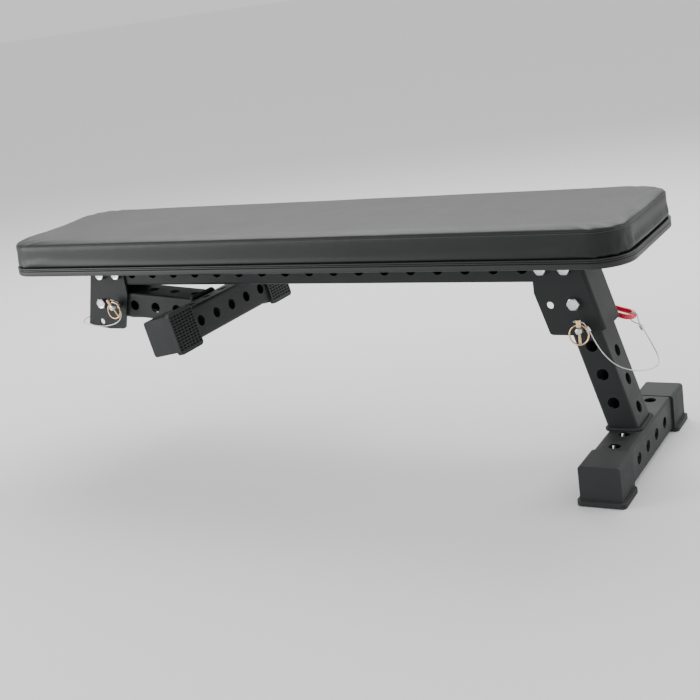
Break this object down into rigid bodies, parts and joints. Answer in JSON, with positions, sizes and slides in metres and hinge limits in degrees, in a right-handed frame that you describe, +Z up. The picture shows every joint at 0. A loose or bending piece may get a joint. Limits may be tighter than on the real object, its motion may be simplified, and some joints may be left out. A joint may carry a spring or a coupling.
{
  "type": "weight bench",
  "caption": "Flat training bench with a padded top on a drilled steel spine, folding pinned legs on cross feet and rubber end caps.",
  "frame": {"origin": "on the floor under the middle of the bench", "axes": "+X along the bench towards the unfolded leg, +Z up, -Y is the side with the lynch pins"},
  "size_m": [1.235, 0.384, 0.434],
  "materials": {
    "pad_vinyl": "satin black upholstery vinyl over foam",
    "piping_vinyl": "satin black vinyl piping",
    "covered_board": "plywood wrapped in black vinyl",
    "zinc_steel": "bright zinc plate",
    "bare_steel": "plain drawn steel",
    "white_nylon": "natural nylon",
    "black_plastic": "moulded polyethylene",
    "black_rubber": "moulded rubber, matte",
    "red_dip": "glossy red vinyl dip",
    "yellow_zinc": "yellow zinc plate on spring steel",
    "wire_rope": "galvanised wire rope",
    "crimp_sleeve": "crimped sleeve",
    "coated_weld": "powder-coated weld",
    "powder_coat": "matte charcoal powder coat"
  },
  "bodies": {
    "bench_frame": {"pad_cushion": "pad_vinyl", "pad_piping": "piping_vinyl", "pad_board": "covered_board", "tee_nuts": "zinc_steel", "pad_screws": "zinc_steel", "left_pad_plate": "powder_coat", "right_pad_plate": "powder_coat", "spine_tube": "powder_coat", "left_spine_plug": "black_plastic", "right_spine_plug": "black_plastic", "left_bracket": "powder_coat", "right_bracket": "powder_coat", "left_spine_bolts": "zinc_steel", "right_spine_bolts": "zinc_steel", "left_spine_sleeves": "bare_steel", "right_spine_sleeves": "bare_steel", "left_spine_nuts": "zinc_steel", "right_spine_nuts": "zinc_steel", "left_pivot_bolt": "zinc_steel", "right_pivot_bolt": "zinc_steel", "left_pivot_nut": "zinc_steel", "right_pivot_nut": "zinc_steel", "left_nut_washers": "zinc_steel", "right_nut_washers": "zinc_steel"},
    "left_leg": {"left_leg_post": "powder_coat", "left_leg_plug": "black_plastic", "left_pivot_bush": "bare_steel", "left_thrust_washers": "white_nylon", "left_foot_tube": "powder_coat", "left_weld_bead": "coated_weld", "left_foot_cap_near": "black_rubber", "left_foot_cap_far": "black_rubber"},
    "left_pin": {"left_lock_pin": "zinc_steel", "left_pin_grip": "red_dip", "left_lynch_pin": "yellow_zinc", "left_lanyard": "wire_rope", "left_ferrules": "crimp_sleeve"},
    "left_ring": {"left_spring_ring": "yellow_zinc"},
    "right_leg": {"right_leg_post": "powder_coat", "right_leg_plug": "black_plastic", "right_pivot_bush": "bare_steel", "right_thrust_washers": "white_nylon", "right_foot_tube": "powder_coat", "right_weld_bead": "coated_weld", "right_foot_cap_near": "black_rubber", "right_foot_cap_far": "black_rubber"},
    "right_pin": {"right_lock_pin": "zinc_steel", "right_pin_grip": "red_dip", "right_lynch_pin": "yellow_zinc", "right_lanyard": "wire_rope", "right_ferrules": "crimp_sleeve"},
    "right_ring": {"right_spring_ring": "yellow_zinc"}
  },
  "joints": [
    {"name": "left_leg_unfold", "type": "hinge", "parent": "bench_frame", "child": "left_leg", "pos_m": [-0.491, 0, 0.282], "axis": [0, 1, 0], "range_deg": [0, 101]},
    {"name": "left_pin_slide", "type": "slide", "parent": "bench_frame", "child": "left_pin", "axis": [0, 1, 0], "range_m": [0, 0.008]},
    {"name": "left_ring_flip", "type": "hinge", "parent": "left_pin", "child": "left_ring", "pos_m": [-0.45481, -0.058, 0.28648], "axis": [-0.866, 0, -0.5], "range_deg": [0, 130]},
    {"name": "right_leg_fold", "type": "hinge", "parent": "bench_frame", "child": "right_leg", "pos_m": [0.491, 0, 0.282], "axis": [0, 1, 0], "range_deg": [0, 101]},
    {"name": "right_pin_slide", "type": "slide", "parent": "bench_frame", "child": "right_pin", "axis": [0, 1, 0], "range_m": [0, 0.008]},
    {"name": "right_ring_flip", "type": "hinge", "parent": "right_pin", "child": "right_ring", "pos_m": [0.5023, -0.058, 0.25189], "axis": [-1, 0, 0], "range_deg": [0, 130]}
  ]
}
